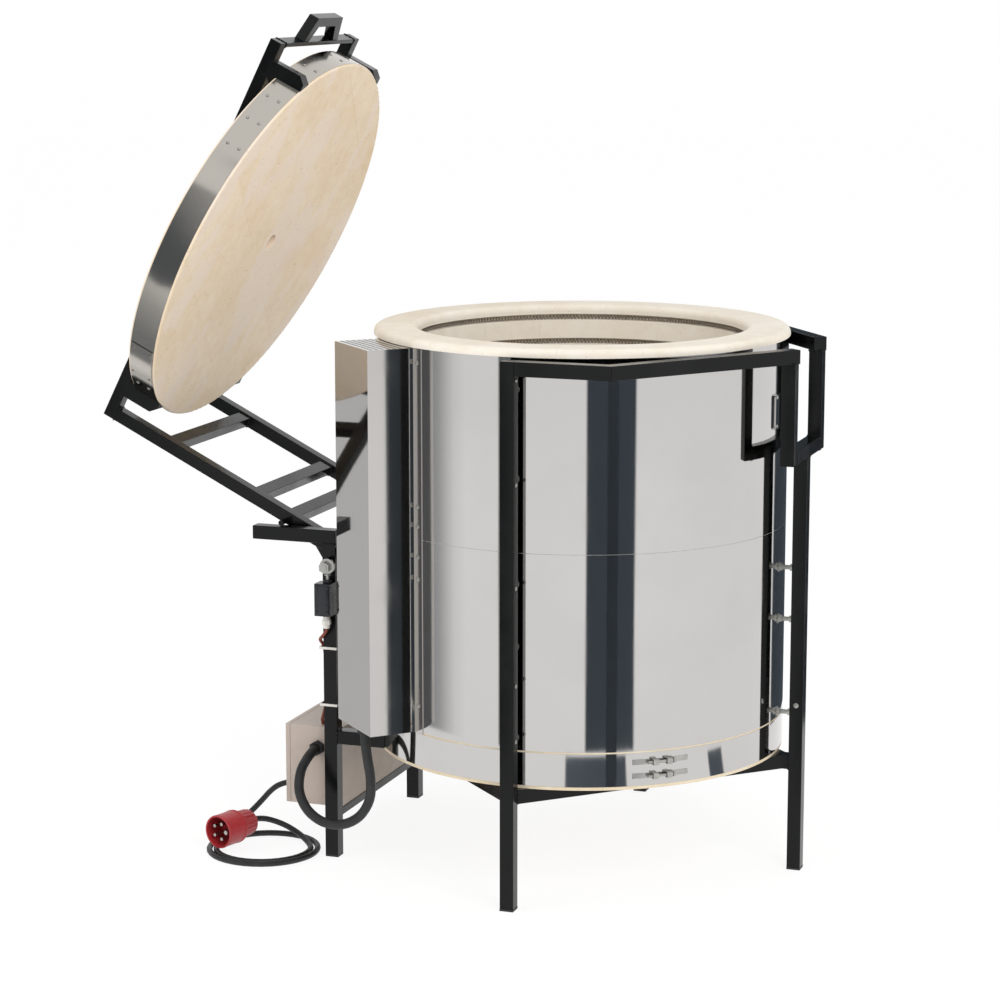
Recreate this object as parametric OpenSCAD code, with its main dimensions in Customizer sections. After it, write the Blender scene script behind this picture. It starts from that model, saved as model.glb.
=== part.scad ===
// Top-loading electric kiln with a swing-back lid, on a square-tube stand.
// Front is -Y, +Z is up, and the stand's feet are at Z = 0. The lid is drawn swung back.

/* [Stand] */
// Side of the square steel tube
tube = 25; // [20:1:30]
// Wall of the steel tube
tube_wall = 2; // [1.5:0.5:3]
// Thickness of the plastic cap under each post
cap_t = 4; // [2:1:8]
// Gap between the jacket and the left and right posts
side_gap = 14.5; // [10:0.5:20]
// Gap between the jacket and the front post
front_gap = 26.5; // [23:0.5:40]
// Distance of each rear post from the middle plane
rear_post_x = 207; // [200:1:215]
// Gap between the jacket and the slanted part of the top rails
rail_clear = 1.2; // [0.5:0.1:3]
// Drop from the jacket's edge to the top rails
rail_drop = 3; // [1:1:20]
// Distance of each bracket upright from the middle plane
bracket_x = 101; // [95:1:130]
// Height of the bracket, from its cross bar to the top rails
bracket_h = 205; // [160:1:260]
// Top of the stop arms that carry the open lid
stop_top = 616; // [600:1:640]
// Length of the stop arms behind the rear posts
stop_reach = 151; // [135:1:180]
// Underside of the rear tie bars
tie_low = 217; // [214:1:225]

/* [Kiln body] */
// Thickness of the steel sheet
sheet = 0.8; // [0.5:0.1:1.5]
// Underside of the floor slab, on the base bars
base_top = 214; // [180:1:260]
// Thickness of the floor slab
slab_t = 76; // [60:1:100]
// Height of each brick ring
ring_h = 232; // [220:1:240]
// Radius of the firing chamber
chamber_r = 298; // [280:1:310]
// Thickness of the brick wall
brick_t = 63.2; // [55:0.1:75]
// Thickness of the fibre blanket behind the bricks
blanket_t = 13; // [6:1:20]
// Bricks in each ring
bricks = 16; // [8:4:20]
// Element grooves in each brick ring
grooves = 5; // [3:1:6]
// Outer diameter of a wound heating element
element_d = 10; // [8:1:14]
// Height of the bare brick rim above the jacket
rim_lip = 15; // [10:1:30]
// How far the rim stands proud of the jacket
rim_proud = 3; // [1:0.5:8]
// Radius of the rim's rounded edges
rim_round = 12; // [4:1:14]
// Height of the floor's steel band
floor_band_h = 59; // [45:1:62]

/* [Lid] */
// Angle between the closed lid and the drawn lid
lid_open = 63.2; // [50:0.1:70]
// Height of the lid's pivot
pivot_z = 551; // [540:1:560]
// Distance of the lid's pivot behind the jacket
pivot_out = 36; // [36:1:44]
// Thickness of the lid slab
lid_t = 58; // [50:1:70]
// How far the lid slab stands back from the jacket
lid_inset = 4; // [2:1:15]
// Gap between the closed lid and the rim
lid_gap = 1; // [0.5:0.5:3]
// Radius of the vent hole in the lid
vent_r = 16; // [12:1:20]
// Depth of the lid frame's rails
rail_d = 23; // [21:1:30]
// Gap between the lid slab and its rails
rail_gap = 14; // [8:1:20]
// Diameter of the pivot bolts
pivot_d = 12; // [10:1:14]

/* [Electrics] */
// Direction of the connection box, from the right, seen from above
box_angle = 135; // [130:1:140]
// Width of the connection box
box_w = 148; // [130:1:160]
// How far the connection box stands out from the jacket
box_out = 80; // [68:1:90]
// Underside of the connection box
box_low = 280; // [270:1:300]
// Drop from the jacket's edge to the top of the connection box
box_drop = 1; // [1:1:50]
// Depth of the switchgear box
gear_d = 112; // [100:1:130]
// Underside of the switchgear box
gear_low = 90; // [80:1:110]
// Height of the switchgear box
gear_h = 150; // [130:1:170]
// Diameter of the hose between the two boxes
hose_d = 18; // [14:1:20]
// Diameter of the mains cord
cord_d = 11; // [9:1:12]
// Outer diameter of the plug's shroud
plug_d = 62; // [54:1:66]

/* [Hidden] */
$fn = 64;
e = 0.5;
fit = 0.05;
touch = 0.3;

half = tube / 2;
brick_r = chamber_r + brick_t;
jacket_in = brick_r + blanket_t;
jacket_r = jacket_in + sheet;
pivot_y = jacket_r + pivot_out;
rear_post_y = pivot_y;
side_post_x = jacket_r + side_gap + half;
front_post_y = jacket_r + front_gap + half;
stop_rear_y = rear_post_y + stop_reach;
post_low = cap_t;
chamber_floor = base_top + slab_t;
rim_top = chamber_floor + 3 * ring_h;
jacket_top = rim_top - rim_lip;
rail_top = jacket_top - rail_drop;
bracket_low = rail_top - bracket_h;
// The slanted rails pass the jacket on a tangent, which gives the place where they turn
rail_r = jacket_r + rail_clear + half;
rail_angle = 180 + atan(front_post_y / bracket_x) - acos(rail_r / norm([bracket_x, front_post_y]));
rail_turn_y = -(rail_r + side_post_x * cos(rail_angle)) / sin(rail_angle);
floor_band_low = base_top + 6;
floor_band_top = floor_band_low + floor_band_h;
jacket_low = floor_band_top + 3;
seam_z = (jacket_low + jacket_top) / 2 + 5;
seam_gap = 0.6;
base_low = base_top - tube;

brick_joint = 0.2;
blanket_panels = bricks / 2;
groove_pitch = ring_h / grooves;
element_r = chamber_r + 10;
groove_d = element_d + 3;
element_drop = (groove_d - element_d) / 2 - touch;
tail_d = 6;
tail_half_angle = 4;
bush_d = 14;
bush_out = 10;
tail_end_r = jacket_r + 27;
sheath_d = 12;
sheath_z = chamber_floor + 1.5 * ring_h;

lid_r = jacket_r - lid_inset;
box_face_r = jacket_r + box_out;
box_h = jacket_top - box_drop - box_low;
lid_low = rim_top + lid_gap;
lid_top = lid_low + lid_t;
lid_band_r = lid_r + sheet;
rails_low = lid_top + rail_gap;
rails_top = rails_low + rail_d;
washer_gap = 10;
lid_rail_x = rear_post_x - tube - washer_gap;
arm_back = pivot_y - half - touch;
arm_front = arm_back - rail_d;
lid_front = -(lid_r + 11);
front_bar_t = 8;
lid_edge = 4;
handle_reach = 47;
lug_t = 12;
lug_r = 20;
stop_pin_r = 5;
stop_pin_y = arm_back - stop_pin_r;
stop_pin_lift = (stop_top + touch + stop_pin_r - pivot_z - (pivot_y - stop_pin_y) * sin(lid_open)) / cos(lid_open);
stop_pin_z = pivot_z + stop_pin_lift;
cross_bar_d = 20;
cross_bar_z = [670, 749, 942];

gear_front = rear_post_y - half + 1.5;
gear_back = gear_front + gear_d;
gear_w = 2 * (rear_post_x - half);
gear_cover_d = 9;
gear_wall = 1.5;
cover_gap = 0.6;
cross_rail_h = 15;

cam_r = 14;
cam_e = 3.5;
cam_t = 6;
cam_x = -(rear_post_x + half + 16.5);
cam_phase = 180 - lid_open / 2;
cam_lift = 2 * cam_e * sin(lid_open / 2);
plunger_top = pivot_z + cam_e * sin(cam_phase) - cam_r - touch;
switch_x = -(rear_post_x + half);
switch_w = 30;
switch_low = 462;
switch_h = 60;
plunger_x = cam_x + cam_t / 2;
plunger_y = pivot_y - cam_e * cos(lid_open / 2);

// The part's origin is under the middle of its box, without the hose and the mains cord.
open_corner_y = pivot_y + (arm_back - pivot_y) * cos(lid_open) + (rails_top - pivot_z) * sin(lid_open);
centre_y = (open_corner_y - front_post_y - half) / 2;

// Shared shapes

// Rectangular tube along X, Y or Z from a low corner, with an end plate where an end is shut
module box_tube(size, axis, shut = [false, false]) {
    low = [for (i = [0:2]) i != axis || shut[0] ? tube_wall : -e];
    high = [for (i = [0:2]) i != axis || shut[1] ? tube_wall : -e];
    difference() {
        cube(size);
        translate(low) cube([for (i = [0:2]) size[i] - low[i] - high[i]]);
    }
}

// Square tube along Z, centred on the Z axis
module tube_z(low, high, shut = [false, false]) {
    translate([-half, -half, low]) box_tube([tube, tube, high - low], 2, shut);
}

// A pair mirrored in the middle plane
module both_sides() {
    children();
    mirror([1, 0, 0]) children();
}

module ring(outer, inner, low, high) {
    translate([0, 0, low]) difference() {
        cylinder(r = outer, h = high - low, $fn = 180);
        translate([0, 0, -e]) cylinder(r = inner, h = high - low + 2 * e, $fn = 180);
    }
}

// A round bar that leaves the kiln's axis at an angle
module radial(angle, from, to, z, d) {
    rotate(angle) translate([from, 0, z]) rotate([0, 90, 0]) cylinder(d = d, h = to - from, $fn = 24);
}

module in_frame() {
    translate([0, -centre_y, 0]) children();
}

// Swings what is drawn on the closed lid back to the open stop
module lid_pose() {
    translate([0, pivot_y, pivot_z]) rotate([-lid_open, 0, 0]) translate([0, -pivot_y, -pivot_z]) children();
}

// Frames along a route: each point gets its direction and two normals
function unit(v) = v / norm(v);
function heading(route, i) = let (n = len(route) - 1)
    unit(i == 0 ? route[1] - route[0] : i == n ? route[n] - route[n - 1] : route[i + 1] - route[i - 1]);
function side_of(d, up) = unit(cross(d, abs(d * up) > 0.9 ? [1, 0.2, 0] : up));

// A closed tube of triangles along a route, with square ends
module sweep(route, d, sides, first, last) {
    n = len(route);
    points = [for (i = [0:n - 1])
        let (h = i == 0 ? first : i == n - 1 ? last : heading(route, i),
            s = side_of(h, [0, 0.3, 1]), u = cross(s, h))
        for (k = [0:sides - 1]) route[i] + d / 2 * (cos(360 * k / sides) * s + sin(360 * k / sides) * u)];
    walls = [for (i = [0:n - 2], k = [0:sides - 1])
        let (a = i * sides + k, b = i * sides + (k + 1) % sides)
        each [[a, b, a + sides], [b, b + sides, a + sides]]];
    starts = [for (k = [1:sides - 2]) [0, k + 1, k]];
    m = (n - 1) * sides;
    ends = [for (k = [1:sides - 2]) [m, m + k, m + k + 1]];
    polyhedron(points, concat(walls, starts, ends));
}

// A smooth curve through a route's own points, with a few rings in each stretch
function curve(route, steps) = let (n = len(route) - 1) concat([for (i = [0:n - 1], j = [0:steps - 1])
    let (p0 = route[max(i - 1, 0)], p1 = route[i], p2 = route[i + 1], p3 = route[min(i + 2, n)], t = j / steps)
    0.5 * (2 * p1 + (p2 - p0) * t + (2 * p0 - 5 * p1 + 4 * p2 - p3) * t * t
        + (3 * p1 - p0 - 3 * p2 + p3) * t * t * t)], [route[n]]);

// Stand

module left_post() {
    color("#1f2223") in_frame() translate([-side_post_x, 0, 0]) tube_z(post_low, rail_top, [false, true]);
}

module right_post() {
    color("#1f2223") in_frame() translate([side_post_x, 0, 0]) tube_z(post_low, rail_top, [false, true]);
}

module front_post() {
    color("#1f2223") in_frame() translate([0, -front_post_y, 0]) tube_z(post_low, bracket_low);
}

module rear_post() {
    difference() {
        translate([-rear_post_x, rear_post_y, 0]) tube_z(post_low, stop_top - tube);
        translate([-rear_post_x - tube, pivot_y, pivot_z]) rotate([0, 90, 0])
            cylinder(r = pivot_d / 2 + fit, h = 2 * tube);
    }
}

module rear_posts() {
    color("#1f2223") in_frame() both_sides() rear_post();
}

module foot_caps() {
    places = [[-side_post_x, 0], [side_post_x, 0], [0, -front_post_y],
        [-rear_post_x, rear_post_y], [rear_post_x, rear_post_y]];
    plug_w = tube - 2 * tube_wall - 2 * fit;
    color("#161819") in_frame() for (p = places) translate([p[0], p[1], 0]) {
        translate([-half, -half, 0]) cube([tube, tube, cap_t]);
        translate([-plug_w / 2, -plug_w / 2, cap_t]) cube([plug_w, plug_w, 10]);
    }
}

// Four mitred bars in a diamond under the slab, and the stub to the front post
module base_bars() {
    reach = side_post_x - half;
    corner = reach - 5;
    color("#1f2223") in_frame() {
        for (a = [0:90:270]) rotate(a) intersection() {
            translate([corner / 2, corner / 2, 0]) rotate(-45)
                translate([-corner, -half, base_low]) box_tube([2 * corner, tube, tube], 0);
            translate([0, 0, base_low - e]) cube([reach, reach, tube + 2 * e]);
        }
        translate([-half, -front_post_y + half, base_low])
            box_tube([tube, front_post_y - half - reach, tube], 1);
    }
}

// Short bars from the rear posts to the side of the kiln's floor
module tie_bars() {
    color("#1f2223") in_frame() both_sides() difference() {
        translate([-rear_post_x - half, 200, tie_low]) box_tube([tube, rear_post_y - half - 200, tube], 1);
        cylinder(r = jacket_r, h = 2 * tie_low, $fn = 180);
    }
}

module rear_cross_rail() {
    color("#3a3d3f") in_frame() translate([-gear_w / 2, rear_post_y - half, gear_low - cross_rail_h])
        box_tube([gear_w, tube, cross_rail_h], 0);
}

// Arms that carry the open lid, each with a triangular gusset in its corner
module stop_arms() {
    t = 5;
    leg = 34;
    color("#1f2223") in_frame() both_sides() {
        translate([-rear_post_x - half, rear_post_y - half, stop_top - tube])
            box_tube([tube, stop_rear_y - rear_post_y + half, tube], 1, [true, true]);
        translate([-rear_post_x - t / 2, rear_post_y + half, stop_top - tube])
            rotate([90, 0, 90]) linear_extrude(t) polygon([[0, e], [leg, e], [leg, 0], [0, -leg / 2]]);
    }
}

// The outline of a bent rail: straight from the side post, then across to the bracket
function mitre(p, d1, d2, w) = let (n1 = [-d1[1], d1[0]], n2 = [-d2[1], d2[0]]) p + w * (n1 + n2) / (1 + n1 * n2);
function rail_outline(w, start, reach) = let (
    a = [-side_post_x, -start], p = [-side_post_x, -rail_turn_y], end = [-bracket_x, -front_post_y],
    d1 = [0, -1], d2 = unit(end - p), q = end + reach * d2, n2 = [-d2[1], d2[0]])
    [a + [w, 0], mitre(p, d1, d2, w), q + w * n2, q - w * n2, mitre(p, d1, d2, -w), a - [w, 0]];

module top_rail() {
    translate([0, 0, rail_top - tube]) difference() {
        linear_extrude(tube) polygon(rail_outline(half, half, half));
        translate([0, 0, tube_wall]) linear_extrude(tube - 2 * tube_wall)
            polygon(rail_outline(half - tube_wall, half - e, half - tube_wall));
    }
}

module top_rails() {
    color("#1f2223") in_frame() both_sides() top_rail();
}

module bracket_uprights() {
    color("#1f2223") in_frame() both_sides()
        translate([-bracket_x, -front_post_y, 0]) tube_z(bracket_low, rail_top - tube, [true, false]);
}

module bracket_bar() {
    w = 2 * bracket_x - tube;
    color("#1f2223") in_frame() translate([-w / 2, -front_post_y - half, bracket_low])
        box_tube([w, tube, tube], 0);
}

// Spacers between the posts and the jacket
module standoffs() {
    d = 8;
    side_z = [jacket_low + 22, seam_z - 166, seam_z - 56, jacket_top - 211, jacket_top - 56];
    front_z = [jacket_low + 11, seam_z - 166, seam_z - 71];
    color("#9a9b98") in_frame() difference() {
        union() {
            both_sides() for (z = side_z) radial(180, jacket_r - 5, side_post_x - half, z, d);
            for (z = front_z) radial(270, jacket_r - 5, front_post_y - half, z, d);
        }
        cylinder(r = jacket_r, h = rail_top, $fn = 180);
    }
}

// Kiln body

module floor_slab() {
    color("#e6dac4") in_frame() translate([0, 0, base_top]) cylinder(r = jacket_in, h = slab_t, $fn = 180);
}

module floor_band() {
    color("#b9b9b8") in_frame() ring(jacket_r, jacket_in, floor_band_low, floor_band_top);
}

// Two screw clamps that draw the floor band tight
module floor_clamps() {
    angle = 220;
    block = 10;
    gap = 26;
    strap_t = 1.2;
    strap = 9;
    color("#c6c6c4") in_frame() for (z = [0.3, 0.72] * floor_band_h) translate([0, 0, floor_band_low + z]) {
        rotate(angle) translate([jacket_r + strap_t, 0, 0]) {
            for (s = [-1, 1]) translate([0, s * gap / 2 - block / 2, -block / 2]) cube([block, block, block]);
            translate([block / 2, gap / 2 + 8, 0]) rotate([90, 0, 0]) cylinder(d = 5, h = gap + 22, $fn = 24);
            translate([block / 2, gap / 2 + 12, 0]) rotate([90, 0, 0]) cylinder(d = 9, h = 4, $fn = 6);
        }
        for (s = [-1, 1]) rotate(angle + s * 4.6 - 3.4)
            rotate_extrude(angle = 6.8, $fn = 180) translate([jacket_r, -strap / 2]) square([strap_t, strap]);
    }
}

function groove_z(ring_i, k) = chamber_floor + ring_i * ring_h + (k + 0.5) * groove_pitch;

// Half section of a ring's wall with its element grooves
module ring_section(ring_i) {
    low = chamber_floor + ring_i * ring_h;
    difference() {
        translate([chamber_r, low]) square([brick_r - chamber_r, ring_h]);
        for (k = [0:grooves - 1]) translate([0, groove_z(ring_i, k)]) {
            translate([element_r, 0]) circle(d = groove_d, $fn = 32);
            translate([chamber_r - e, -groove_d / 2 + 1]) square([element_r - chamber_r + e, groove_d - 2]);
        }
    }
}

// Holes for the element tails and the thermocouple
module wall_holes(d, sheath, rings) {
    for (i = rings, k = [0:grooves - 1], s = [-1, 1])
        radial(box_angle + s * tail_half_angle, chamber_r - e, jacket_r + 5, groove_z(i, k) - element_drop, d);
    radial(box_angle, chamber_r - e, jacket_r + 5, sheath_z, sheath);
}

// Thin upright gaps that part a ring into its bricks or panels, none of them behind the connection box
module joints(count) {
    for (k = [0:count - 1]) rotate(box_angle + (k + 0.5) * 360 / count)
        translate([chamber_r - e, -brick_joint / 2, chamber_floor - e])
            cube([jacket_r - chamber_r + 2 * rim_proud, brick_joint, rim_top - chamber_floor + 2 * e]);
}

module brick_ring(ring_i) {
    difference() {
        rotate_extrude($fn = 180) ring_section(ring_i);
        wall_holes(tail_d + 1, sheath_d + 0.4, [ring_i]);
        joints(bricks);
    }
}

module brick_ring_lower() {
    color("#e4d6bd") in_frame() brick_ring(0);
}

module brick_ring_middle() {
    color("#e4d6bd") in_frame() brick_ring(1);
}

// The top ring also carries the rounded rim that covers the blanket and the jacket's edge
module brick_ring_upper() {
    outer = jacket_r + rim_proud;
    r = min(rim_round, rim_lip - 2);
    color("#e8dcc6") in_frame() difference() {
        rotate_extrude($fn = 180) {
            difference() {
                ring_section(2);
                translate([chamber_r - e, jacket_top + e]) square([brick_r, rim_lip]);
            }
            translate([chamber_r, jacket_top]) square([outer - chamber_r, rim_lip - r]);
            translate([chamber_r + r, jacket_top]) square([outer - chamber_r - 2 * r, rim_lip]);
            for (x = [chamber_r + r, outer - r]) intersection() {
                translate([x, rim_top - r]) circle(r = r, $fn = 48);
                translate([x - r, rim_top - r]) square([2 * r, r]);
            }
        }
        wall_holes(tail_d + 1, sheath_d + 0.4, [2]);
        joints(bricks);
    }
}

module fibre_blanket() {
    color("#f1efe8") in_frame() difference() {
        ring(jacket_in, brick_r, chamber_floor, jacket_top);
        wall_holes(bush_d, sheath_d + 0.4, [0, 1, 2]);
        joints(blanket_panels);
    }
}

module jacket_lower() {
    color("#c4c4c4") in_frame() difference() {
        ring(jacket_r, jacket_in, jacket_low, seam_z);
        wall_holes(bush_d, sheath_d + 0.4, [0, 1]);
    }
}

module jacket_upper() {
    color("#c4c4c4") in_frame() difference() {
        ring(jacket_r, jacket_in, seam_z + seam_gap, jacket_top);
        wall_holes(bush_d, sheath_d + 0.4, [1, 2]);
    }
}

// Blank plate over the sight hole at the front
module front_plate() {
    w = 44;
    h = 63;
    t = 4;
    r = 6;
    turn = -4;
    color("#b4b4b2") in_frame() rotate(turn) difference() {
        translate([-w / 2, -jacket_r - t, jacket_top - 123 - h / 2]) {
            translate([r, 0, 0]) cube([w - 2 * r, t + 3, h]);
            translate([0, 0, r]) cube([w, t + 3, h - 2 * r]);
            for (x = [r, w - r], z = [r, h - r]) translate([x, t + 3, z]) rotate([90, 0, 0])
                cylinder(r = r, h = t + 3, $fn = 32);
        }
        cylinder(r = jacket_r, h = rail_top, $fn = 180);
    }
}

// Screws along the connection box's two flanges
box_half_angle = asin(box_w / 2 / jacket_r);
flange_angle = 3.4;
flange_t = 1.2;
module jacket_screws() {
    d = 8;
    head = 3;
    seat = jacket_r + flange_t;
    screw_z = [box_low + 50, seam_z - 71.5, seam_z - 31.5, seam_z + 23.5, seam_z + 58.5, jacket_top - 26];
    color("#8d8e8c") in_frame() for (s = [-1, 1], z = screw_z)
        radial(box_angle + s * (box_half_angle + flange_angle / 2), seat, seat + head, z, d);
}

// Each groove's element is a wound coil whose two tails leave through the wall
module element(ring_i, k) {
    z = groove_z(ring_i, k) - element_drop;
    gap_half = tail_half_angle - 1.4;
    rotate(box_angle + gap_half) rotate_extrude(angle = 360 - 2 * gap_half, $fn = 180)
        translate([element_r, z]) circle(d = element_d, $fn = 24);
    for (s = [-1, 1]) radial(box_angle + s * tail_half_angle, element_r, tail_end_r, z, tail_d);
}

module elements_lower() {
    color("#4a4643") in_frame() for (k = [0:grooves - 1]) element(0, k);
}

module elements_middle() {
    color("#4a4643") in_frame() for (k = [0:grooves - 1]) element(1, k);
}

module elements_upper() {
    color("#4a4643") in_frame() for (k = [0:grooves - 1]) element(2, k);
}

module at_tails() {
    for (i = [0:2], k = [0:grooves - 1], s = [-1, 1])
        rotate(box_angle + s * tail_half_angle) translate([0, 0, groove_z(i, k) - element_drop]) rotate([0, 90, 0])
            children();
}

// Ceramic tubes that keep the tails clear of the jacket
module tail_bushes() {
    color("#efe9dc") in_frame() at_tails() difference() {
        translate([0, 0, brick_r + 1]) cylinder(d = bush_d, h = jacket_r + bush_out - brick_r - 1, $fn = 24);
        cylinder(d = tail_d + 2 * fit, h = 2 * jacket_r, $fn = 24);
    }
}

module tail_connectors() {
    l = 12;
    color("#b8964a") in_frame() at_tails() difference() {
        translate([0, 0, tail_end_r - l]) cylinder(d = 10, h = l, $fn = 24);
        cylinder(d = tail_d, h = 2 * jacket_r, $fn = 24);
    }
}

module thermocouple() {
    reach = 22;
    head = 16;
    color("#d9d2c3") in_frame() {
        radial(box_angle, chamber_r - reach, jacket_r + 12, sheath_z, sheath_d);
        radial(box_angle, jacket_r + 12, jacket_r + 12 + head, sheath_z, 26);
    }
}

// Tall sheet box over the element tails, folded out along the jacket on both sides
module connection_box() {
    start = jacket_r - 20;
    fold_gap = 0.01;
    color("#c2c2c1") in_frame() {
        difference() {
            rotate(box_angle) difference() {
                translate([start, -box_w / 2, box_low]) cube([box_face_r - start, box_w, box_h]);
                translate([start - e, -box_w / 2 + sheet, box_low + sheet])
                    cube([box_face_r - start + e - sheet, box_w - 2 * sheet, box_h]);
                translate([hose_exit_r, 0, box_low - e]) cylinder(d = hose_d + 8, h = 2);
            }
            translate([0, 0, box_low - e]) cylinder(r = jacket_r, h = box_h + 2 * e, $fn = 180);
        }
        for (s = [-1, 1]) rotate(box_angle + s * (box_half_angle + flange_angle / 2 + fold_gap) - flange_angle / 2)
            translate([0, 0, box_low]) rotate_extrude(angle = flange_angle, $fn = 180)
                translate([jacket_r, 0]) square([flange_t, box_h]);
    }
}

// Perforated top that lets the box's heat out
module connection_grille() {
    t = 1.5;
    pitch = 11;
    hole = 7;
    seat = box_low + box_h - t;
    color("#b5b5b3") in_frame() difference() {
        rotate(box_angle) difference() {
            translate([jacket_r - 20, -box_w / 2 + sheet, seat])
                cube([box_face_r - jacket_r + 20 - sheet, box_w - 2 * sheet, t]);
            for (i = [0:5], j = [-6:6]) translate([box_face_r - 10 - i * pitch, j * pitch, seat - e])
                cylinder(d = hole, h = t + 2 * e, $fn = 24);
        }
        translate([0, 0, seat - e]) cylinder(r = jacket_r, h = t + 2 * e, $fn = 180);
    }
}

// Switchgear

hose_exit_r = box_face_r - 21;
gear_hose_y = rear_post_y + 36;
gear_hose_z = 200;
gear_cord_x = -100;
gear_cord_z = 100;
gland_l = 12;
louvre_x = -150;
louvre_step = 11;
louvre_w = 4;

module switchgear_box() {
    w = gear_wall;
    color("#c7b8ac") in_frame() difference() {
        translate([-gear_w / 2, gear_front, gear_low]) cube([gear_w, gear_d - gear_cover_d, gear_h]);
        translate([w - gear_w / 2, gear_front + w, gear_low + w]) cube([gear_w - 2 * w, gear_d, gear_h - 2 * w]);
        translate([-gear_w / 2 - e, gear_hose_y, gear_hose_z]) rotate([0, 90, 0]) cylinder(d = hose_d + 4, h = 5);
        translate([switch_entry[0], switch_entry[1], gear_low + gear_h - 5]) cylinder(d = switch_cable_d, h = 10);
        for (k = [0:5]) translate([louvre_x + k * louvre_step, gear_front - e, gear_low + gear_h - 45])
            cube([louvre_w, gear_wall + 2 * e, 22]);
    }
}

module switchgear_cover() {
    w = gear_wall;
    back = gear_back - gear_cover_d + cover_gap;
    color("#cdbfb3") in_frame() difference() {
        translate([-gear_w / 2, back, gear_low]) cube([gear_w, gear_cover_d - cover_gap, gear_h]);
        translate([w - gear_w / 2, back - e, gear_low + w])
            cube([gear_w - 2 * w, gear_cover_d - cover_gap + e - w, gear_h - 2 * w]);
        translate([gear_cord_x, gear_back - 5, gear_cord_z]) rotate([-90, 0, 0]) cylinder(d = cord_d + 5, h = 10);
    }
}

// Switching gear on a rail inside the box
module contactors() {
    rail = 7.5;
    color("#4b4d50") in_frame() translate([0, gear_front + gear_wall, gear_low + gear_h / 2]) {
        translate([-150, 0, -18]) cube([300, rail, 36]);
        for (x = [-110, -50, 10]) translate([x, rail, -38]) cube([45, 62, 76]);
        translate([75, rail, -25]) cube([60, 40, 50]);
    }
}

// Threaded glands for the hose, and the tapered strain relief of the mains cord
module box_glands() {
    color("#202223") in_frame() {
        rotate(box_angle) translate([hose_exit_r, 0, box_low - gland_l]) difference() {
            union() {
                cylinder(d = hose_d + 12, h = gland_l, $fn = 6);
                translate([0, 0, gland_l]) cylinder(d = hose_d + 8, h = sheet);
            }
            translate([0, 0, -e]) cylinder(d = hose_d + 3 * touch, h = gland_l / 2 + e);
        }
        translate([-gear_w / 2 - gland_l, gear_hose_y, gear_hose_z]) rotate([0, 90, 0]) difference() {
            union() {
                cylinder(d = hose_d + 10, h = gland_l, $fn = 6);
                translate([0, 0, gland_l]) cylinder(d = hose_d + 4, h = gear_wall);
            }
            translate([0, 0, -e]) cylinder(d = hose_d + 3 * touch, h = gland_l / 2 + e);
        }
        translate([gear_cord_x, gear_back - gear_wall, gear_cord_z]) rotate([-90, 0, 0]) {
            cylinder(d = cord_d + 5, h = gear_wall);
            translate([0, 0, gear_wall]) cylinder(d1 = cord_d + 11, d2 = cord_d + 4, h = relief_l);
        }
    }
}

// Lid switch on the left rear post

module limit_switch() {
    turret = 6;
    color("#1c1e20") in_frame() difference() {
        union() {
            translate([switch_x - switch_w, pivot_y - 14, switch_low]) cube([switch_w, 31, switch_h]);
            translate([plunger_x, plunger_y, switch_low + switch_h]) cylinder(d = 14, h = turret);
        }
        translate([plunger_x, plunger_y, switch_low + switch_h - 20]) cylinder(d = 6 + 2 * fit, h = 40);
    }
}

// Nylon gland for the switch's lead
module switch_gland() {
    nut = 9;
    h = 25;
    color("#e4e4e0") in_frame() translate([plunger_x, pivot_y, switch_low - h]) {
        cylinder(d1 = 11, d2 = 14, h = h - 2 * nut + 2, $fn = 32);
        translate([0, 0, h - 2 * nut]) cylinder(d = 17, h = nut, $fn = 6);
        translate([0, 0, h - nut]) cylinder(d = 13, h = nut, $fn = 32);
    }
}

module switch_plunger() {
    cap = 3;
    color("#c9c9c6") in_frame() translate([plunger_x, plunger_y, 0]) {
        translate([0, 0, switch_low + switch_h - 14])
            cylinder(d = 6, h = plunger_top - switch_low - switch_h + 14);
        translate([0, 0, plunger_top - cap]) cylinder(d = 11, h = cap);
    }
}

// The switch's lead goes down the post into the top of the switchgear box
switch_cable_d = 6;
post_back = rear_post_y + half;
switch_entry = [-rear_post_x + 31, rear_post_y + 33];
switch_route = [[plunger_x, pivot_y, 437], [plunger_x, pivot_y + 1, 431], [-232, 419, 422],
    [-225, post_back + 3.8, 413], [-212, post_back + 3.5, 401], [-205, post_back + 3.3, 386],
    [-203, post_back + 3.3, 360], [-203, post_back + 3.3, 290], [-201, 431, 272], [-193, 437, 260], [-182, 443, 251],
    [switch_entry[0], switch_entry[1], gear_low + gear_h - 1.5]];
module switch_cable() {
    color("#8a4a3a") in_frame() sweep(curve(switch_route, 3), switch_cable_d, 8, [0, 0, -1], [0, 0, -1]);
}

module cable_ties() {
    t = 1.2;
    h = 4.5;
    wrap = switch_cable_d + 0.8;
    tie_z = [gear_low + gear_h + 47, switch_low - 68];
    color("#d8d8d4") in_frame() for (z = tie_z) translate([-rear_post_x - half, rear_post_y - half, z])
        difference() {
            translate([-t, -t, 0]) cube([tube + 2 * t, tube + wrap + 2 * t, h]);
            translate([0, 0, -e]) cube([tube, tube + wrap, h + 2 * e]);
        }
}

// Lid, drawn closed and swung back by lid_pose

module lid_slab() {
    r = lid_edge;
    color("#ead7bb") in_frame() lid_pose() difference() {
        translate([0, 0, lid_low]) rotate_extrude($fn = 180) {
            square([lid_r - r, lid_t]);
            translate([0, r]) square([lid_r, lid_t - 2 * r]);
            for (z = [r, lid_t - r]) translate([lid_r - r, z]) circle(r = r, $fn = 48);
        }
        translate([0, 0, lid_low - e]) cylinder(r = vent_r, h = lid_t + 2 * e);
    }
}

module lid_band() {
    color("#b9b7b3") in_frame() lid_pose() ring(lid_band_r, lid_r, lid_low + lid_edge, lid_top - lid_edge);
}

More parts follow.
